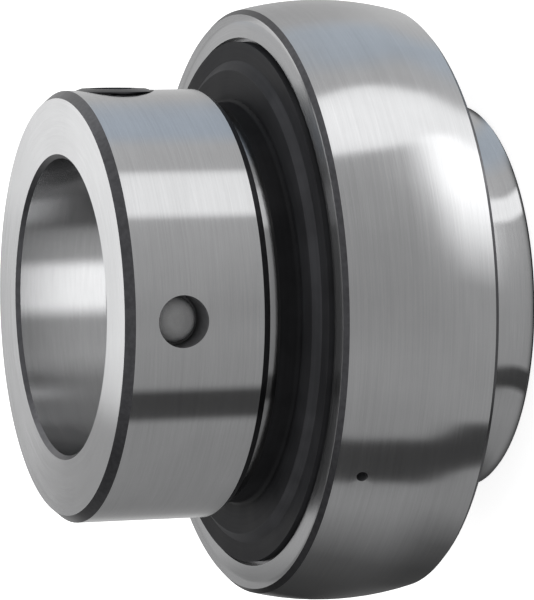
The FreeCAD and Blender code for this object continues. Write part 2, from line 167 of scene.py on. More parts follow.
class RubberFinish(bpy.types.PropertyGroup):
    flinger: FloatVectorProperty(
        name="Flinger rubber",
        description="Colour of the rubber bonded to the flingers",
        subtype="COLOR",
        default=(0.025, 0.0252, 0.0272),
    )
    lip: FloatVectorProperty(
        name="Seal rubber",
        description="Colour of the seal lips inside",
        subtype="COLOR",
        default=(0.03, 0.03, 0.032),
    )
    roughness: FloatProperty(
        name="Roughness",
        description="Roughness of the moulded rubber",
        default=0.42,
        min=0.0,
        max=1.0,
        subtype="FACTOR",
    )


class CageFinish(bpy.types.PropertyGroup):
    polymer: FloatVectorProperty(
        name="Polymer",
        description="Colour of the cage's natural polyamide",
        subtype="COLOR",
        default=(0.78, 0.75, 0.66),
    )


class ScrewShape(bpy.types.PropertyGroup):
    pitch: FloatProperty(
        name="Thread pitch",
        description="Pitch of the grub screw's thread",
        default=1.0 * MM,
        min=0.2 * MM,
        unit="LENGTH",
    )
    thread_depth: FloatProperty(
        name="Thread depth",
        description="Depth of the thread below its crest",
        default=0.42 * MM,
        min=0.0,
        unit="LENGTH",
    )
    socket_flats: FloatProperty(
        name="Socket",
        description="Hexagon socket, across its flats",
        default=5.0 * MM,
        min=1.0 * MM,
        unit="LENGTH",
    )
    socket_depth: FloatProperty(
        name="Socket depth",
        description="Depth of the hexagon socket",
        default=4.0 * MM,
        min=1.0 * MM,
        unit="LENGTH",
    )
    columns: IntProperty(
        name="Columns",
        description="Faces round the screw",
        default=72,
        min=12,
    )


class StudioSetup(bpy.types.PropertyGroup):
    camera_place: FloatVectorProperty(
        name="Camera",
        description="Place of the camera",
        subtype="TRANSLATION",
        default=(0.04505, -0.55032, 0.20429),
    )
    camera_aim: FloatVectorProperty(
        name="Camera aim",
        description="Point that the camera looks at",
        subtype="TRANSLATION",
        default=(-0.00004, 0.00201, 0.0056),
    )
    camera_up: FloatVectorProperty(
        name="Camera up",
        description="Direction that points up in the picture",
        subtype="DIRECTION",
        default=(0.9971, 0.0715, -0.0275),
    )
    camera_lens: FloatProperty(
        name="Lens",
        description="Focal length in millimetres",
        default=293.9,
        min=1.0,
    )
    camera_sensor: FloatProperty(
        name="Sensor",
        description="Length of the sensor along the picture's long side, in millimetres",
        default=36.0,
        min=1.0,
    )
    floor_colour: FloatVectorProperty(
        name="Floor",
        description="Colour of the pale floor",
        subtype="COLOR",
        default=(0.86, 0.86, 0.86),
    )
    floor_lift: FloatProperty(
        name="Floor white",
        description="White added where the floor is seen straight, in metal or through glass",
        default=0.82,
        min=0.0,
        max=1.0,
    )
    world_strength: FloatProperty(
        name="World",
        description="Strength of the white world on matt surfaces",
        default=0.72,
        min=0.0,
    )
    tent_height: FloatProperty(
        name="Light tent",
        description="How far the light tent's section runs, over the floor and up its wall",
        default=280 * MM,
        min=50 * MM,
        unit="LENGTH",
    )
    floor_size: FloatProperty(
        name="Floor size",
        description="Length of the floor's side",
        default=3.0,
        min=0.5,
        unit="LENGTH",
    )
    lamp_place: FloatVectorProperty(
        name="Lamp place",
        description="Place of the soft lamp, which points at the bearing's centre",
        subtype="TRANSLATION",
        default=(0.25, -0.15, 0.45),
    )
    lamp_size: FloatProperty(
        name="Lamp size",
        description="Width of the soft lamp's disc",
        default=0.35,
        min=0.01,
        unit="LENGTH",
    )
    lamp_strength: FloatProperty(
        name="Lamp",
        description="Power of the soft lamp over the bearing, in watts",
        default=0.5,
        min=0.0,
    )


class Nodes:
    """Adds nodes to a tree, with their settings and inputs given by name."""

    def __init__(self, tree):
        self.tree = tree
        tree.nodes.clear()

    def add(self, kind, inputs=None, **settings):
        node = self.tree.nodes.new(kind)
        for name, value in settings.items():
            setattr(node, name, value)
        for name, value in (inputs or {}).items():
            socket = node.inputs[name]
            if isinstance(value, bpy.types.NodeSocket):
                self.tree.links.new(value, socket)
            elif socket.type == "RGBA" and len(value) == 3:
                socket.default_value = (*value, 1.0)
            else:
                socket.default_value = value
        return node

    def math(self, operation, first, second=0.0, third=0.0):
        inputs = {0: first, 1: second, 2: third}
        return self.add("ShaderNodeMath", inputs, operation=operation).outputs[0]

    def times(self, first, second):
        return self.math("MULTIPLY", first, second)

    def distance(self, first, second):
        """Length of the long side of a right triangle with these two sides."""
        square = self.math("ADD", self.times(first, first), self.times(second, second))
        return self.math("SQRT", square)

    def place(self):
        """The place on the part: sockets for its X, Y and Z."""
        place = self.add("ShaderNodeTexCoord").outputs["Object"]
        return self.add("ShaderNodeSeparateXYZ", {0: place}).outputs

    def shaded(self, colour, shade):
        """The colour made lighter or darker by the factor shade."""
        inputs = {"Red": shade, "Green": shade, "Blue": shade}
        grey = self.add("ShaderNodeCombineColor", inputs).outputs[0]
        return self.mix_colour(1.0, tuple(colour), grey, "MULTIPLY")

    def mix_colour(self, factor, first, second, blend="MIX"):
        inputs = {"Factor": factor, "A": first, "B": second}
        node = self.tree.nodes.new("ShaderNodeMix")
        node.data_type = "RGBA"
        node.blend_type = blend
        sockets = {socket.name: socket for socket in node.inputs if socket.enabled}
        for name, value in inputs.items():
            if isinstance(value, bpy.types.NodeSocket):
                self.tree.links.new(value, sockets[name])
            elif name == "Factor":
                sockets[name].default_value = value
            else:
                sockets[name].default_value = (*value[:3], 1.0)
        return next(socket for socket in node.outputs if socket.enabled)

    def span(self, value, low, high, to_low=0.0, to_high=1.0):
        """A smooth step of value from low to high."""
        inputs = {"Value": value, "From Min": low, "From Max": high}
        inputs.update({"To Min": to_low, "To Max": to_high})
        node = self.add("ShaderNodeMapRange", inputs, interpolation_type="SMOOTHSTEP")
        return node.outputs["Result"]

    def vary(self, noise, low, high):
        """A factor from low to high that follows a noise, most of which lies near its middle."""
        return self.span(noise, 0.3, 0.7, low, high)


def new_material(name):
    material = bpy.data.materials.new(name)
    material.use_nodes = True
    return material, Nodes(material.node_tree)


def axis_split(nodes):
    """The place on the part: distance from the bearing's axis, height, direction round it."""
    place = nodes.place()
    flat = nodes.add("ShaderNodeCombineXYZ", {"X": place["X"], "Y": place["Y"], "Z": 0.0})
    length = nodes.add("ShaderNodeVectorMath", {0: flat.outputs[0]}, operation="LENGTH")
    turn = nodes.add("ShaderNodeVectorMath", {0: flat.outputs[0]}, operation="NORMALIZE")
    return length.outputs["Value"], place["Z"], turn.outputs["Vector"]


def lathe_grain(nodes, pitch, arc=0.5):
    """Noise drawn out round the axis: fine across the grinding marks and long along them."""
    radius, height, turn = axis_split(nodes)
    round_way = nodes.add("ShaderNodeSeparateXYZ", {0: turn})
    across = nodes.math("DIVIDE", height, pitch)
    vector = nodes.add(
        "ShaderNodeCombineXYZ",
        {
            "X": nodes.times(round_way.outputs["X"], 1 / arc),
            "Y": nodes.times(round_way.outputs["Y"], 1 / arc),
            "Z": across,
        },
    )
    noise = nodes.add(
        "ShaderNodeTexNoise",
        {
            "Vector": vector.outputs[0],
            "W": nodes.math("DIVIDE", radius, pitch),
            "Scale": 1.0,
            "Detail": 3.0,
            "Roughness": 0.6,
        },
        noise_dimensions="4D",
    )
    return noise.outputs["Fac"]


def cloud(nodes, size, detail=3.0):
    """Plain noise of the given size."""
    place = nodes.add("ShaderNodeTexCoord").outputs["Object"]
    noise = nodes.add(
        "ShaderNodeTexNoise",
        {"Vector": place, "Scale": 1 / size, "Detail": detail, "Roughness": 0.55},
    )
    return noise.outputs["Fac"]


def slant_mask(nodes):
    """1 on chamfers and cones, whose normals lean, and 0 on faces and cylinders."""
    cylinder_most, slant_least, slant_most, face_least = 0.36, 0.44, 0.92, 0.97
    normal = nodes.add("ShaderNodeTexCoord").outputs["Normal"]
    lean = nodes.math("ABSOLUTE", nodes.add("ShaderNodeSeparateXYZ", {0: normal}).outputs["Z"])
    rising = nodes.span(lean, cylinder_most, slant_least)
    falling = nodes.span(lean, slant_most, face_least, 1.0, 0.0)
    return nodes.times(rising, falling)


def edge_wear(nodes, reach):
    """1 along sharp edges, fading over reach."""
    smooth_match, edge_match = 0.995, 0.9
    rounded = nodes.add("ShaderNodeBevel", {"Radius": reach}, samples=4).outputs["Normal"]
    straight = nodes.add("ShaderNodeNewGeometry").outputs["Normal"]
    same = nodes.add("ShaderNodeVectorMath", {0: rounded, 1: straight}, operation="DOT_PRODUCT")
    return nodes.span(same.outputs["Value"], smooth_match, edge_match)


def ground_steel(name, finish, holes=None, walls=None):
    """Steel ground or turned round the bearing's axis, with dark chamfers.

    holes(nodes) may give a mask of drilled holes, whose walls are dull and have the colour
    walls, or else the chamfers' colour; on the outer ring's seal seats this dark colour is painted
    shade.
    """
    coarse_pitch = finish.grain_pitch * 8
    patch_size, mottle_size, wear_reach = 9 * MM, 0.6 * MM, 0.12 * MM
    wall_dullness, roughness_swing = 0.75, 0.015
    material, nodes = new_material(name)
    fine = lathe_grain(nodes, finish.grain_pitch, arc=0.25)
    coarse = lathe_grain(nodes, coarse_pitch)
    patches = cloud(nodes, patch_size)
    tone = nodes.span(fine, 0.25, 0.75, 0.94, 1.05)
    band = nodes.span(coarse, 0.25, 0.75, 0.97, 1.03)
    blotch = nodes.vary(patches, 0.97, 1.03)
    colour = nodes.shaded(finish.ground, nodes.times(nodes.times(tone, band), blotch))
    patchy = nodes.span(patches, 0.35, 0.6, 0.1, 0.5)
    worn = nodes.times(edge_wear(nodes, wear_reach), patchy)
    colour = nodes.mix_colour(worn, colour, tuple(finish.polished))
    unground = slant_mask(nodes)
    metal = 1.0
    if holes is not None:
        drilled = holes(nodes)
        unground = nodes.math("MAXIMUM", unground, drilled)
        metal = nodes.math("SUBTRACT", 1.0, nodes.times(drilled, wall_dullness))
    mottle = nodes.vary(cloud(nodes, mottle_size), 0.86, 1.14)
    colour = nodes.mix_colour(unground, colour, nodes.shaded(finish.unground, mottle))
    if walls is not None:
        colour = nodes.mix_colour(drilled, colour, tuple(walls))
    low, high = finish.roughness - roughness_swing, finish.roughness + roughness_swing
    duller = nodes.times(unground, finish.unground_roughness)
    roughness = nodes.math("ADD", nodes.span(coarse, 0.2, 0.8, low, high), duller)
    bump = nodes.add(
        "ShaderNodeBump", {"Height": fine, "Strength": 0.3, "Distance": 0.0015 * MM}
    )
    tangent = nodes.add("ShaderNodeTangent", direction_type="RADIAL", axis="Z")
    shader = nodes.add(
        "ShaderNodeBsdfPrincipled",
        {
            "Base Color": colour,
            "Metallic": metal,
            "Roughness": roughness,
            "Anisotropic": 0.9,
            "Anisotropic Rotation": 0.25,
            "Normal": bump.outputs[0],
            "Tangent": tangent.outputs[0],
        },
    )
    nodes.add("ShaderNodeOutputMaterial", {"Surface": shader.outputs[0]})
    return material


def plain_steel(name, colour, roughness, grain, depth, metal=1.0, tone=None):
    """Steel without a lathe's marks: polished, pressed or blackened; dull where metal is low.

    tone(nodes) may shade its colour.
    """
    patch_size, wear_reach, roughness_swing = 4 * MM, 0.1 * MM, 0.04
    worn_gain, worn_lift = 1.5, 0.03
    material, nodes = new_material(name)
    noise = cloud(nodes, grain)
    patches = cloud(nodes, patch_size)
    fine = nodes.vary(noise, 0.9, 1.08)
    shade = nodes.times(fine, nodes.vary(patches, 0.95, 1.05))
    if tone is not None:
        shade = nodes.times(shade, tone(nodes))
    mixed = nodes.shaded(colour, shade)
    lighter = [min(1.0, channel * worn_gain + worn_lift) for channel in colour]
    mixed = nodes.mix_colour(nodes.times(edge_wear(nodes, wear_reach), 0.5), mixed, lighter)
    rough = nodes.vary(patches, roughness - roughness_swing, roughness + roughness_swing)
    bump = nodes.add("ShaderNodeBump", {"Height": noise, "Strength": 0.3, "Distance": depth})
    shader = nodes.add(
        "ShaderNodeBsdfPrincipled",
        {"Base Color": mixed, "Metallic": metal, "Roughness": rough, "Normal": bump.outputs[0]},
    )
    nodes.add("ShaderNodeOutputMaterial", {"Surface": shader.outputs[0]})
    return material


def flinger_painted_light(nodes):
    """Painted light on the flinger's rubber: the hub, in the collar's shade, is painted darker, and
    the step in its plate is painted lighter as a highlight.
    """
    hub_edge, plate_start = SHOULDER_RADIUS + 1.1 * MM, SHOULDER_RADIUS + 2 * MM
    step_outer = FLINGER_RADIUS - 2.25 * MM
    step_inner = step_outer - 1.3 * MM
    inner_blend, outer_blend = 0.25 * MM, 0.1 * MM
    # Painted shade on the hub and a painted highlight on the step.
    hub_painted_shade, step_painted_highlight = 0.55, 0.5
    radius = axis_split(nodes)[0]
    hub = nodes.span(radius, hub_edge, plate_start, hub_painted_shade, 1.0)
    rising = nodes.span(radius, step_inner, step_inner + inner_blend)
    falling = nodes.span(radius, step_outer - outer_blend, step_outer + outer_blend, 1.0, 0.0)
    return nodes.math("ADD", hub, nodes.times(nodes.times(rising, falling), step_painted_highlight))


def moulded_rubber(name, colour, roughness, tone=None):
    """Satin rubber with the mould's turning marks and a fine bloom; tone(nodes) may shade it."""
    speck_size, bloom_size, mark_pitch, wear_reach = 0.25 * MM, 5 * MM, 0.35 * MM, 0.15 * MM
    worn_gain = 2.2
    material, nodes = new_material(name)
    speck = cloud(nodes, speck_size)
    bloom = cloud(nodes, bloom_size)
    rings = lathe_grain(nodes, mark_pitch, arc=1.0)
    turned = nodes.vary(rings, 0.9, 1.1)
    shade = nodes.times(nodes.vary(bloom, 0.85, 1.2), turned)
    if tone is not None:
        shade = nodes.times(shade, tone(nodes))
    mixed = nodes.shaded(colour, shade)
    worn = nodes.times(edge_wear(nodes, wear_reach), 0.2)
    mixed = nodes.mix_colour(worn, mixed, [channel * worn_gain for channel in colour])
    rough = nodes.vary(bloom, roughness - 0.05, roughness + 0.06)
    height = nodes.math("ADD", nodes.times(rings, 0.6), nodes.times(speck, 0.4))
    bump = nodes.add("ShaderNodeBump", {"Height": height, "Strength": 0.4, "Distance": 0.015 * MM})
    shader = nodes.add(
        "ShaderNodeBsdfPrincipled",
        {
            "Base Color": mixed,
            "Roughness": rough,
            "Specular IOR Level": 0.04,
            "Normal": bump.outputs[0],
        },
    )
    nodes.add("ShaderNodeOutputMaterial", {"Surface": shader.outputs[0]})
    return material


def cage_polymer(name, colour):
    """Natural polyamide: slightly glossy, with flow marks."""
    flow_size, speck_size, flow_shade = 6 * MM, 0.3 * MM, 0.86
    material, nodes = new_material(name)
    flow = cloud(nodes, flow_size, detail=5.0)
    speck = cloud(nodes, speck_size)
    darker = [channel * flow_shade for channel in colour]
    mixed = nodes.mix_colour(nodes.vary(flow, 0.0, 1.0), tuple(colour), darker)
    bump = nodes.add("ShaderNodeBump", {"Height": speck, "Strength": 0.3, "Distance": 0.02 * MM})
    shader = nodes.add(
        "ShaderNodeBsdfPrincipled",
        {
            "Base Color": mixed,
            "Roughness": nodes.vary(flow, 0.38, 0.5),
            "Subsurface Weight": 0.1,
            "Subsurface Scale": 0.8 * MM,
            "Normal": bump.outputs[0],
        },
    )
    nodes.add("ShaderNodeOutputMaterial", {"Surface": shader.outputs[0]})
    return material


def dress(node, material):
    """Gives a CAD node its material."""
    data = frame["nodes"][node].data
    data.materials.clear()
    data.materials.append(material)


def ring_holes_and_painted_seat_shade(nodes):
    """1 on the walls of the relubrication holes, and on the seal seats' walls, which face the axis
    and are painted dark as shade.
    """
    flat_most, drilled_least, facing_axis, side_on, blend = 0.1, 0.2, -0.7, -0.5, 0.2 * MM
    _, height, turn = axis_split(nodes)
    normal = nodes.add("ShaderNodeTexCoord").outputs["Normal"]
    crossed = nodes.add("ShaderNodeVectorMath", {0: turn, 1: normal}, operation="CROSS_PRODUCT")
    round_way = nodes.add("ShaderNodeSeparateXYZ", {0: crossed.outputs["Vector"]}).outputs["Z"]
    drilled = nodes.span(nodes.math("ABSOLUTE", round_way), flat_most, drilled_least)
    outward = nodes.add("ShaderNodeVectorMath", {0: turn, 1: normal}, operation="DOT_PRODUCT")
    # The seal seats' walls facing the axis get painted shade.
    inward = nodes.span(outward.outputs["Value"], facing_axis, side_on, 1.0, 0.0)
    beyond = nodes.span(nodes.math("ABSOLUTE", height), SEAL_SEAT, SEAL_SEAT + blend)
    return nodes.math("MAXIMUM", drilled, nodes.times(inward, beyond))


def radial_hole(nodes, axis, side, half_width):
    """1 on the walls of a hole drilled along X or Y into the collar, inside its outer surface."""
    place = nodes.place()
    across = place["Y" if axis == "X" else "X"]
    along = nodes.times(place[axis], side)
    up = nodes.math("SUBTRACT", place["Z"], HOLE_HEIGHT)
    away = nodes.distance(across, up)
    side_blend, bore_blend = 0.02 * MM, 1 * MM
    near = nodes.span(away, half_width, half_width + side_blend, 1.0, 0.0)
    return nodes.times(near, nodes.span(along, BORE_RADIUS, BORE_RADIUS + bore_blend))


def collar_holes(nodes):
    """1 on the walls of the drift hole and of the grub screw's hole."""
    past_pin, past_screw = 0.36 * MM, 0.06 * MM
    drift = radial_hole(nodes, "Y", -1.0, PIN_RADIUS + past_pin)
    return nodes.math("MAXIMUM", drift, radial_hole(nodes, "X", 1.0, SCREW_CREST + past_screw))


def pin_painted_light(nodes):
    """Painted light on the pin's round end: painted shade in its middle and painted light towards
    its rim, flattening the shading inside its hole.
    """
    place = nodes.place()
    up = nodes.math("SUBTRACT", place["Z"], (PIN_LOW.z + PIN_HIGH.z) / 2)
    away = nodes.distance(place["X"], up)
    # Painted shade in the middle, painted light at the rim.
    painted_dark_middle, painted_light_rim = 0.5, 1.9
    return nodes.span(away, 0.15 * PIN_RADIUS, 1.3 * PIN_RADIUS, painted_dark_middle, painted_light_rim)


class FinishOuterRing(bpy.types.Operator):
    """Ground outer ring with dark chamfers"""

    bl_idname = "bearing.finish_outer_ring"
    bl_label = "Outer ring"

    def execute(self, context):
        finish = context.scene.bearing_steel
        # The hole mask also paints shade on this ring's seal seats.
        dress("outer_ring", ground_steel("outer_ring_steel", finish, ring_holes_and_painted_seat_shade))
        return {"FINISHED"}


class FinishInnerRing(bpy.types.Operator):
    """Ground inner ring with its eccentric end"""

    bl_idname = "bearing.finish_inner_ring"
    bl_label = "Inner ring"

    def execute(self, context):
        finish = context.scene.bearing_steel
        dress("inner_ring", ground_steel("inner_ring_steel", finish))
        return {"FINISHED"}


class FinishCollar(bpy.types.Operator):
    """Ground locking collar with dark chamfers and drilled holes, and its pin"""

    bl_idname = "bearing.finish_collar"
    bl_label = "Locking collar and pin"

    def execute(self, context):
        finish = context.scene.bearing_steel
        collar = ground_steel("collar_steel", finish, collar_holes, finish.drilled)
        dress("locking_collar", collar)
        # The pin's colour carries painted light: a darker middle and a lighter rim.
        pin = plain_steel(
            "pin_steel", finish.pin, roughness=0.32, grain=0.15 * MM, depth=0.004 * MM,
            metal=0.12, tone=pin_painted_light,
        )
        dress("domed_pin", pin)
        return {"FINISHED"}


class FinishBalls(bpy.types.Operator):
    """Polished balls"""

    bl_idname = "bearing.finish_balls"
    bl_label = "Balls"

    def execute(self, context):
        finish = context.scene.bearing_steel
        material = plain_steel(
            "ball_steel", finish.polished, roughness=0.1, grain=0.4 * MM, depth=0.0005 * MM
        )
        for node in frame["nodes"]:
            if node.startswith("ball_"):
                dress(node, material)
        return {"FINISHED"}


class FinishCage(bpy.types.Operator):
    """Moulded polymer cage"""

    bl_idname = "bearing.finish_cage"
    bl_label = "Cage"

    def execute(self, context):
        dress("cage", cage_polymer("cage_polymer", context.scene.bearing_cage.polymer))
        return {"FINISHED"}


class FinishSeals(bpy.types.Operator):
    """Pressed seal plates with their rubber lips, both sides"""

    bl_idname = "bearing.finish_seals"
    bl_label = "Seals"

    def execute(self, context):
        steel = context.scene.bearing_steel
        rubber = context.scene.bearing_rubber
        plate = plain_steel(
            "seal_plate_steel", steel.sheet, roughness=0.34, grain=0.3 * MM, depth=0.003 * MM
        )
        lip = moulded_rubber("seal_rubber", rubber.lip, rubber.roughness)
        for side in SIDES:
            dress("seal_plate_" + side, plate)
            dress("seal_lip_" + side, lip)
        return {"FINISHED"}


class FinishFlingers(bpy.types.Operator):
    """Pressed flinger cores with their rubber cover, both sides"""

    bl_idname = "bearing.finish_flingers"
    bl_label = "Flingers"

    def execute(self, context):
        steel = context.scene.bearing_steel
        rubber = context.scene.bearing_rubber
        core = plain_steel(
            "flinger_steel", steel.sheet, roughness=0.36, grain=0.3 * MM, depth=0.003 * MM
        )
        # The cover's colour carries painted shade on its hub and a painted highlight on its step.
        cover = moulded_rubber("flinger_rubber", rubber.flinger, rubber.roughness, flinger_painted_light)
        for side in SIDES:
            dress("flinger_core_" + side, core)
            dress("flinger_rubber_" + side, cover)
        return {"FINISHED"}


def hexagon_radius(flats, angle):
    """Distance from a hexagon's centre to its side at this angle."""
    sector = math.radians(60)
    return flats / 2 / math.cos(angle % sector - sector / 2)


def screw_rows(shape, length):
    """Rows of (depth below the head, radius at an angle), from the socket's floor to the cup."""
    flats = shape.socket_flats
    mouth_depth, mouth_width = 0.3 * MM, 0.2 * MM
    head_radius = SCREW_CREST - 0.825 * MM
    head_bevel, head_land, thread_start = 0.3 * MM, 0.45 * MM, 0.5 * MM
    thread_end, point_start = length - 1.3 * MM, length - 1.2 * MM
    point_radius = SCREW_CREST - 0.1 * MM
    cup_rim, cup_mouth = SCREW_CREST - 1.575 * MM, SCREW_CREST - 1.9 * MM
    rows_a_turn = 8
    rows = [
        (shape.socket_depth, lambda angle: hexagon_radius(flats, angle)),
        (mouth_depth, lambda angle: hexagon_radius(flats, angle)),
        (0.0, lambda angle: hexagon_radius(flats, angle) + mouth_width),
        (0.0, lambda angle: head_radius),
        (head_bevel, lambda angle: SCREW_CREST),
        (head_land, lambda angle: SCREW_CREST),
    ]
    steps = int((thread_end - thread_start) / shape.pitch * rows_a_turn)
    for step in range(steps + 1):
        depth = thread_start + (thread_end - thread_start) * step / steps

        def thread(angle, depth=depth):
            wave = (depth / shape.pitch + angle / math.tau) % 1.0
            return SCREW_CREST + shape.thread_depth * (abs(2 * wave - 1) - 1)

        rows.append((depth, thread))
    rows.append((point_start, lambda angle: point_radius))
    rows.append((length, lambda angle: cup_rim))
    rows.append((length, lambda angle: cup_mouth))
    return rows


def join_rings(mesh, upper, lower):
    """Faces between two rings that have as many points."""
    for column in range(len(upper)):
        after = (column + 1) % len(upper)
        mesh.faces.new((upper[column], upper[after], lower[after], lower[column]))


def finished(name, mesh):
    """An object with the mesh that was built."""
    data = bpy.data.meshes.new(name)
    mesh.to_mesh(data)
    mesh.free()
    return bpy.data.objects.new(name, data)


class BuildGrubScrew(bpy.types.Operator):
    """Threaded grub screw with a hexagon socket and a cup point, in the collar's tapped hole"""

    bl_idname = "bearing.build_grub_screw"
    bl_label = "Grub screw"

    def execute(self, context):
        shape = context.scene.bearing_screw
        drill_point, cup_depth, sharp_edge = 0.6 * MM, 1.0 * MM, math.radians(32)
        turns = [math.tau * column / shape.columns for column in range(shape.columns)]
        mesh = bmesh.new()
        grid = []
        for depth, radius in screw_rows(shape, SCREW_HIGH.x - SCREW_LOW.x):
            centre = Vector((SCREW_HIGH.x - depth, 0.0, HOLE_HEIGHT))
            ways = [Vector((0.0, math.cos(turn), math.sin(turn))) * radius(turn) for turn in turns]
            grid.append([mesh.verts.new(centre + way) for way in ways])
        for upper, lower in zip(grid, grid[1:]):
            join_rings(mesh, upper, lower)
        floor_place = SCREW_HIGH.x - shape.socket_depth - drill_point
        socket_floor = mesh.verts.new((floor_place, 0.0, HOLE_HEIGHT))
        cup = mesh.verts.new((SCREW_LOW.x + cup_depth, 0.0, HOLE_HEIGHT))
        for column in range(shape.columns):
            after = (column + 1) % shape.columns
            mesh.faces.new((socket_floor, grid[0][after], grid[0][column]))
            mesh.faces.new((cup, grid[-1][column], grid[-1][after]))
        bmesh.ops.recalc_face_normals(mesh, faces=mesh.faces)
        screw = finished("threaded_grub_screw", mesh)
        data = screw.data
        data.shade_smooth()
        data.set_sharp_from_angle(angle=sharp_edge)
        context.scene.collection.objects.link(screw)
        oxide = plain_steel(
            "screw_black_oxide", context.scene.bearing_steel.oxide,
            roughness=0.36, grain=0.2 * MM, depth=0.006 * MM,
        )
        data.materials.append(oxide)
        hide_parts("grub_screw")
        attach(screw, "grub_screw")
        return {"FINISHED"}


# The light tent is a bowl round the bearing that only reflections see. Its
# section runs out over the floor, bends and rises; places along it are in
# millimetres from TENT_START. A narrower band hangs round the collar, and a
# liner in the bore. Azimuths are in degrees from -Y towards +X.
TENT_START = 26 * MM
TENT_INNER = -3.2
TENT_FLAT = 64 * MM
TENT_BEND = 25 * MM
TENT_LIFT = 0.1 * MM
LINER_GAP = 0.25 * MM
BAND_GAP = 8 * MM
BORE_SEEN = 11.5 * MM
BAND_FOOT = 0.4 * MM
PANEL_INSET = 0.35 * MM
PANEL_STEP = 0.05 * MM

# (azimuth, brightness and, where it isn't white, blue tint)
FLOOR_STOPS = (
    (-180, 0.45),
    (-140, 0.30),
    (-105, 0.07),
    (-90, 0.07),
    (-74, 0.13),
    (-66, 0.24),
    (-58, 0.39),
    (-50, 0.43),
    (-35, 0.48),
    (-14, 0.53),
    (-3, 0.55),
    (14, 0.62),
    (31, 0.72),
    (70, 0.78),
    (106, 0.75),
    (128, 0.60),
    (180, 0.45),
)
WALL_STOPS = (
    (-180, 0.53),
    (-153, 0.50),
    (-144, 0.32),
    (-134, 0.04),
    (-112, 0.08),
    (-94, 0.14),
    (-86, 0.23),
    (-77, 0.34),
    (-68, 0.44),
    (-37, 0.48),
    (-14, 0.53),
    (-3, 0.49),
    (8, 0.48),
    (26, 0.53),
    (38, 0.57),
    (46, 0.62),
    (80, 0.78),
    (106, 0.75),
    (117, 0.66),
    (128, 0.60),
    (160, 0.50),
    (180, 0.53),
)
BAND_STOPS = (
    (-180, 0.66),
    (-110, 0.60),
    (-99, 0.38),
    (-88, 0.35),
    (-75, 0.39),
    (-64, 0.42),
    (-36, 0.46),
    (-34, 0.09),
    (-25, 0.09),
    (-23, 0.49),
    (-6, 0.54),
    (2, 0.52),
    (12, 0.58),
    (22, 0.64),
    (32.5, 0.71),
    (34.5, 1.6),
    (50, 1.6),
    (52, 0.78),
    (63, 0.78),
    (70, 0.78, 1.0),
    (80, 0.78, 1.0),
    (88, 0.75, 0.8),
    (101, 0.70),
    (180, 0.66),
)
BAND_OUTSIDE_STOPS = (
    (-180, 0.50),
    (-100, 0.30),
    (-40, 0.26),
    (-25, 0.60),
    (0, 0.50),
    (20, 0.78),
    (35, 1.50),
    (44, 1.30),
    (48, 0.38),
    (54, 0.38),
    (57, 1.00),
    (75, 0.95),
    (100, 0.65),
    (180, 0.50),
)
LINER_STOPS = (
    (-180, 0.20),
    (-136, 0.09),
    (-100, 0.14),
    (-88, 0.50),
    (-66, 0.62),
    (-54, 0.62),
    (-42, 2.05),
    (2, 2.05),
    (19, 0.60),
    (62, 0.64),
    (76, 0.55),
    (95, 0.36),
    (180, 0.20),
)

# name, colour, degrees over which the first and the last azimuth fade, then from the inner end
# (place along the section, first azimuth, last azimuth, brightness, cover)
PANELS = (
    (
        "window", WHITE, 2, 2,
        (
            (-3.2, 28, 38, 1.75, 1),
            (2, 29, 40, 1.75, 1),
            (7, 32, 44, 1.75, 1),
            (17, 40, 54, 1.75, 1),
            (23, 46, 60.5, 1.8, 1),
            (30, 50, 66, 1.8, 1),
            (44, 51, 71.5, 1.8, 1),
            (63, 51, 76.5, 1.75, 1),
            (80, 51, 78.5, 1.75, 1),
            (92, 51, 78, 1.75, 1),
            (108, 51, 76, 1.75, 1),
            (150, 52, 76, 1.75, 1),
        ),
    ),
    (
        "window_bloom", WHITE, 24, 4,
        (
            (9, 4, 41, 2.4, 1),
            (19, 6, 49, 2.5, 1),
            (27, 8, 53, 2.6, 1),
            (35, 16, 55, 2.4, 1),
            (45, 28, 55, 1.8, 1),
            (52, 38, 55, 1.7, 0),
        ),
    ),
    (
        "dark_strip", WHITE, 2, 2,
        (
            (-3.2, -27, -17.5, 0.08, 1),
            (2, -30, -19.5, 0.08, 1),
            (7, -34, -23, 0.08, 1),
            (14, -40, -26.5, 0.08, 1),
            (26, -46, -28.5, 0.08, 1),
            (34, -50.5, -33, 0.08, 1),
            (48, -55, -37.5, 0.08, 1),
            (66, -56, -38.5, 0.08, 1),
            (105, -59, -40.5, 0.08, 1),
            (150, -61, -42, 0.08, 1),
        ),
    ),
    (
        "sky", SKY, 9, 9,
        (
            (-3.2, 44, 74, 0.84, 1),
            (10, 54, 82, 0.84, 1),
            (22, 67, 92, 0.84, 1),
            (34, 78, 107, 0.84, 1),
            (60, 81, 116, 0.84, 1),
            (100, 84, 120, 0.84, 1),
        ),
    ),
    (
        "back_window", WHITE, 2, 2,
        (
            (150, 108, 177, 1.2, 1),
            (162, 108, 180, 1.25, 1),
            (167, 108, 189, 1.3, 1),
            (173, 108, 193.5, 1.4, 1),
            (182, 108, 195, 1.75, 1),
            (280, 108, 196, 1.9, 1),
        ),
    ),
    (
        "fill", WHITE, 15, 15,
        (
            (140, -155, -70, 0.32, 0),
            (155, -155, -70, 0.32, 1),
            (280, -155, -70, 0.32, 1),
        ),
    ),
)


def tent_section(reach):
    """(distance from the axis, height) of the bowl's section at this length along it."""
    flat_end = TENT_START + TENT_FLAT
    base = FLOOR_HEIGHT + TENT_LIFT
    if reach <= TENT_FLAT:
        return TENT_START + reach, base
    turned = (reach - TENT_FLAT) / TENT_BEND
    if turned <= math.pi / 2:
        out = flat_end + TENT_BEND * math.sin(turned)
        return out, base + TENT_BEND * (1 - math.cos(turned))
    rest = reach - TENT_FLAT - TENT_BEND * math.pi / 2
    return flat_end + TENT_BEND, base + TENT_BEND + rest


def on_bowl(reach, azimuth, inset=0.0):
    """The place on the bowl, moved inwards by inset."""
    out, height = tent_section(reach)
    turn = math.radians(azimuth)
    across = out - inset
    return (across * math.sin(turn), -across * math.cos(turn), height + inset)


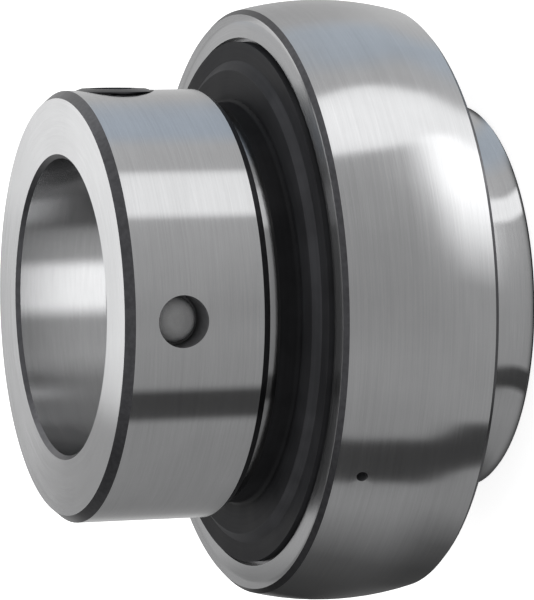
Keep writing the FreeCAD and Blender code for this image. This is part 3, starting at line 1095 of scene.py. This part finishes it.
def bowl_patch(name, knots, inset, first_fade=0.0, last_fade=0.0):
    """A patch of the bowl through the knots, with its brightness and cover kept on its points."""
    column_degrees, row_length = 2, 5
    mesh = bmesh.new()
    widest = max(knot[2] - knot[1] for knot in knots)
    columns = max(4, int(widest / column_degrees))
    lines = []
    for near, far in zip(knots, knots[1:]):
        rows = max(1, int((far[0] - near[0]) / row_length))
        for row in range(rows):
            share = row / rows
            lines.append([first + (second - first) * share for first, second in zip(near, far)])
    lines.append(knots[-1])
    grid = []
    brightness = []
    cover = []
    for place, start, end, glow, covered in lines:
        row = []
        for column in range(columns + 1):
            share = column / columns
            azimuth = start + (end - start) * share
            row.append(mesh.verts.new(on_bowl(place * MM, azimuth, inset)))
            brightness.append(glow)
            rise = (azimuth - start) / first_fade if first_fade else 1.0
            fall = (end - azimuth) / last_fade if last_fade else 1.0
            cover.append(covered * max(0.0, min(1.0, rise, fall)))
        grid.append(row)
    for low, high in zip(grid, grid[1:]):
        for column in range(columns):
            mesh.faces.new((low[column], low[column + 1], high[column + 1], high[column]))
    patch = finished(name, mesh)
    for kept, values in (("brightness", brightness), ("cover", cover)):
        patch.data.attributes.new(kept, "FLOAT", "POINT").data.foreach_set("value", values)
    return patch


def open_tube(name, radius, low, high):
    """A tube round the bearing's axis, open at both ends."""
    mesh = bmesh.new()
    columns = 180
    turns = [math.tau * column / columns for column in range(columns)]
    rings = []
    for height in (low, high):
        places = [(radius * math.cos(turn), radius * math.sin(turn), height) for turn in turns]
        rings.append([mesh.verts.new(place) for place in places])
    join_rings(mesh, *rings)
    return finished(name, mesh)


def only_in_reflections(stage_piece):
    """The piece shows in gloss alone: it neither lights nor shades the bearing or the floor."""
    stage_piece.visible_camera = False
    stage_piece.visible_diffuse = False
    stage_piece.visible_shadow = False
    stage_piece.visible_transmission = False
    stage_piece.visible_volume_scatter = False


def panel_glow(name, colour):
    """Light as bright as the panel's points say, fading out at its edges."""
    material, nodes = new_material(name)
    brightness = nodes.add("ShaderNodeAttribute", attribute_name="brightness").outputs["Fac"]
    cover = nodes.add("ShaderNodeAttribute", attribute_name="cover").outputs["Fac"]
    glow = nodes.add("ShaderNodeEmission", {"Color": colour, "Strength": brightness})
    clear = nodes.add("ShaderNodeBsdfTransparent")
    both = nodes.add("ShaderNodeMixShader", {0: cover, 1: clear.outputs[0], 2: glow.outputs[0]})
    nodes.add("ShaderNodeOutputMaterial", {"Surface": both.outputs[0]})
    material.cycles.emission_sampling = "NONE"
    return material


def tone_round(nodes, stops):
    """A soft tone that changes round the bearing's axis."""
    place = nodes.place()
    angle = nodes.math("ARCTAN2", place["X"], nodes.times(place["Y"], -1.0))
    share = nodes.math("DIVIDE", nodes.math("ADD", angle, math.pi), math.tau)
    ramp = nodes.add("ShaderNodeValToRGB", {"Fac": share})
    elements = ramp.color_ramp.elements
    while len(elements) < len(stops):
        elements.new(0.5)
    for element, (azimuth, brightness, *tint) in zip(elements, stops):
        element.position = (azimuth + 180) / 360
        blue = sum(tint)
        colour = (brightness * (1.0 + shift * blue) for shift in BLUE_SHIFT)
        element.color = (*colour, 1.0)
    return ramp.outputs["Color"]


def tent_tone(nodes):
    """The bowl's tone: one near the bearing, another further out, and a painted contact shadow
    where the bowl meets the bearing.
    """
    near_end, far_start = 44 * MM, 86 * MM
    contact_end, clear_start = SHOULDER_RADIUS + 0.2 * MM, SHOULDER_RADIUS + 1.4 * MM
    contact_shade = (0.08, 0.08, 0.08)
    radius = axis_split(nodes)[0]
    out = nodes.span(radius, near_end, far_start)
    tone = nodes.mix_colour(out, tone_round(nodes, FLOOR_STOPS), tone_round(nodes, WALL_STOPS))
    # Painted contact shadow where the bowl meets the bearing.
    clear = nodes.span(radius, contact_end, clear_start)
    return nodes.mix_colour(clear, contact_shade, tone)


def band_tone(nodes):
    """The collar's band: one tone inside, for the collar, and one outside, for the ring's face."""
    inside = nodes.add("ShaderNodeNewGeometry").outputs["Backfacing"]
    outer = tone_round(nodes, BAND_OUTSIDE_STOPS)
    return nodes.mix_colour(inside, outer, tone_round(nodes, BAND_STOPS))


def liner_tone(nodes):
    """The bore liner's tone."""
    return tone_round(nodes, LINER_STOPS)


def tone_glow(name, tone):
    """Light with the tone that tone(nodes) gives."""
    material, nodes = new_material(name)
    glow = nodes.add("ShaderNodeEmission", {"Color": tone(nodes), "Strength": 1.0})
    nodes.add("ShaderNodeOutputMaterial", {"Surface": glow.outputs[0]})
    material.cycles.emission_sampling = "NONE"
    return material


def seen_straight(nodes):
    """1 for what the camera sees straight, in gloss or through glass."""
    path = nodes.add("ShaderNodeLightPath").outputs
    seen = nodes.math("MAXIMUM", path["Is Camera Ray"], path["Is Glossy Ray"])
    return nodes.math("MAXIMUM", seen, path["Is Transmission Ray"])


class BuildStage(bpy.types.Operator):
    """Pale floor, light tent, soft lamp, white world and the camera"""

    bl_idname = "bearing.build_stage"
    bl_label = "Stage"

    def execute(self, context):
        setup = context.scene.bearing_studio
        self.build_floor(context, setup)
        self.build_tent(context, setup)
        self.build_lamp(context, setup)
        self.build_world(context, setup)
        self.build_camera(context, setup)
        context.scene.view_settings.view_transform = "Standard"
        return {"FINISHED"}

    def build_floor(self, context, setup):
        data = bpy.data.meshes.new("floor")
        half = setup.floor_size / 2
        corners = [(-half, -half), (half, -half), (half, half), (-half, half)]
        data.from_pydata([(x, y, FLOOR_HEIGHT) for x, y in corners], [], [(0, 1, 2, 3)])
        floor = bpy.data.objects.new("floor", data)
        context.scene.collection.objects.link(floor)
        material, nodes = new_material("pale_floor")
        matt = nodes.add("ShaderNodeBsdfDiffuse", {"Color": tuple(setup.floor_colour)})
        white = nodes.times(seen_straight(nodes), setup.floor_lift)
        glow = nodes.add("ShaderNodeEmission", {"Color": WHITE, "Strength": white})
        both = nodes.add("ShaderNodeAddShader", {0: matt.outputs[0], 1: glow.outputs[0]})
        nodes.add("ShaderNodeOutputMaterial", {"Surface": both.outputs[0]})
        material.cycles.emission_sampling = "NONE"
        data.materials.append(material)

    def build_tent(self, context, setup):
        top = setup.tent_height / MM
        whole_turn = ((TENT_INNER, -180, 180, 1, 1), (top, -180, 180, 1, 1))
        bowl = bowl_patch("light_tent", whole_turn, inset=0.0)
        bowl.data.materials.append(tone_glow("tent_light", tent_tone))
        liner_top = COLLAR_HIGH.z - BORE_SEEN
        liner_foot = FLOOR_HEIGHT + TENT_LIFT
        liner = open_tube("bore_liner", BORE_RADIUS - LINER_GAP, liner_foot, liner_top)
        liner.data.materials.append(tone_glow("liner_light", liner_tone))
        band_foot = RING_FACE + BAND_FOOT
        band = open_tube("collar_band", COLLAR_HIGH.x + BAND_GAP, band_foot, COLLAR_HIGH.z)
        band.data.materials.append(tone_glow("band_light", band_tone))
        stage_pieces = [bowl, liner, band]
        for layer, (name, colour, first_fade, last_fade, knots) in enumerate(PANELS):
            inset = PANEL_INSET - PANEL_STEP * layer
            panel = bowl_patch(name, knots, inset, first_fade, last_fade)
            panel.data.materials.append(panel_glow(name + "_light", colour))
            stage_pieces.append(panel)
        for stage_piece in stage_pieces:
            context.scene.collection.objects.link(stage_piece)
            only_in_reflections(stage_piece)

    def build_lamp(self, context, setup):
        data = bpy.data.lights.new("soft_lamp", "AREA")
        data.shape = "DISK"
        data.size = setup.lamp_size
        data.energy = setup.lamp_strength
        data.cycles.use_multiple_importance_sampling = False
        lamp = bpy.data.objects.new("soft_lamp", data)
        lamp.location = setup.lamp_place
        lamp.visible_glossy = False
        lamp.rotation_euler = (-lamp.location).to_track_quat("-Z", "Y").to_euler()
        context.scene.collection.objects.link(lamp)

    def build_world(self, context, setup):
        world = bpy.data.worlds.new("white_world")
        world.use_nodes = True
        nodes = Nodes(world.node_tree)
        strength = nodes.math(
            "MULTIPLY_ADD", seen_straight(nodes), 1.0 - setup.world_strength, setup.world_strength
        )
        sky = nodes.add("ShaderNodeBackground", {"Color": WHITE, "Strength": strength})
        nodes.add("ShaderNodeOutputWorld", {"Surface": sky.outputs[0]})
        world.cycles.sampling_method = "NONE"
        context.scene.world = world

    def build_camera(self, context, setup):
        data = bpy.data.cameras.new("camera")
        data.sensor_width = setup.camera_sensor
        data.lens = setup.camera_lens
        data.clip_start = 0.01
        camera = bpy.data.objects.new("camera", data)
        forward = (Vector(setup.camera_aim) - Vector(setup.camera_place)).normalized()
        right = forward.cross(Vector(setup.camera_up)).normalized()
        up = right.cross(forward)
        turn = Matrix((right, up, -forward)).transposed().to_4x4()
        camera.matrix_world = Matrix.Translation(setup.camera_place) @ turn
        context.scene.collection.objects.link(camera)
        context.scene.camera = camera


class BearingPanel(bpy.types.Panel):
    """The bearing's pieces, in the order in which they are finished"""

    bl_idname = "VIEW3D_PT_bearing"
    bl_label = "Insert bearing"
    bl_space_type = "VIEW_3D"
    bl_region_type = "UI"
    bl_category = "Bearing"

    def draw(self, context):
        for operator in PIECES:
            self.layout.operator(operator.bl_idname)


SETTINGS = {
    "bearing_steel": SteelFinish,
    "bearing_rubber": RubberFinish,
    "bearing_cage": CageFinish,
    "bearing_screw": ScrewShape,
    "bearing_studio": StudioSetup,
}
PIECES = (
    FinishOuterRing,
    FinishInnerRing,
    FinishCollar,
    FinishBalls,
    FinishCage,
    FinishSeals,
    FinishFlingers,
    BuildGrubScrew,
    BuildStage,
)


def register():
    for setting, group in SETTINGS.items():
        bpy.utils.register_class(group)
        setattr(bpy.types.Scene, setting, PointerProperty(type=group))
    for operator in PIECES:
        bpy.utils.register_class(operator)
    bpy.utils.register_class(BearingPanel)


def unregister():
    bpy.utils.unregister_class(BearingPanel)
    for operator in reversed(PIECES):
        bpy.utils.unregister_class(operator)
    for setting, group in SETTINGS.items():
        delattr(bpy.types.Scene, setting)
        bpy.utils.unregister_class(group)


def main():
    register()
    bpy.ops.bearing.finish_outer_ring()
    bpy.ops.bearing.finish_inner_ring()
    bpy.ops.bearing.finish_collar()
    bpy.ops.bearing.finish_balls()
    bpy.ops.bearing.finish_cage()
    bpy.ops.bearing.finish_seals()
    bpy.ops.bearing.finish_flingers()
    bpy.ops.bearing.build_grub_screw()
    bpy.ops.bearing.build_stage()


if __name__ == "__main__":
    main()
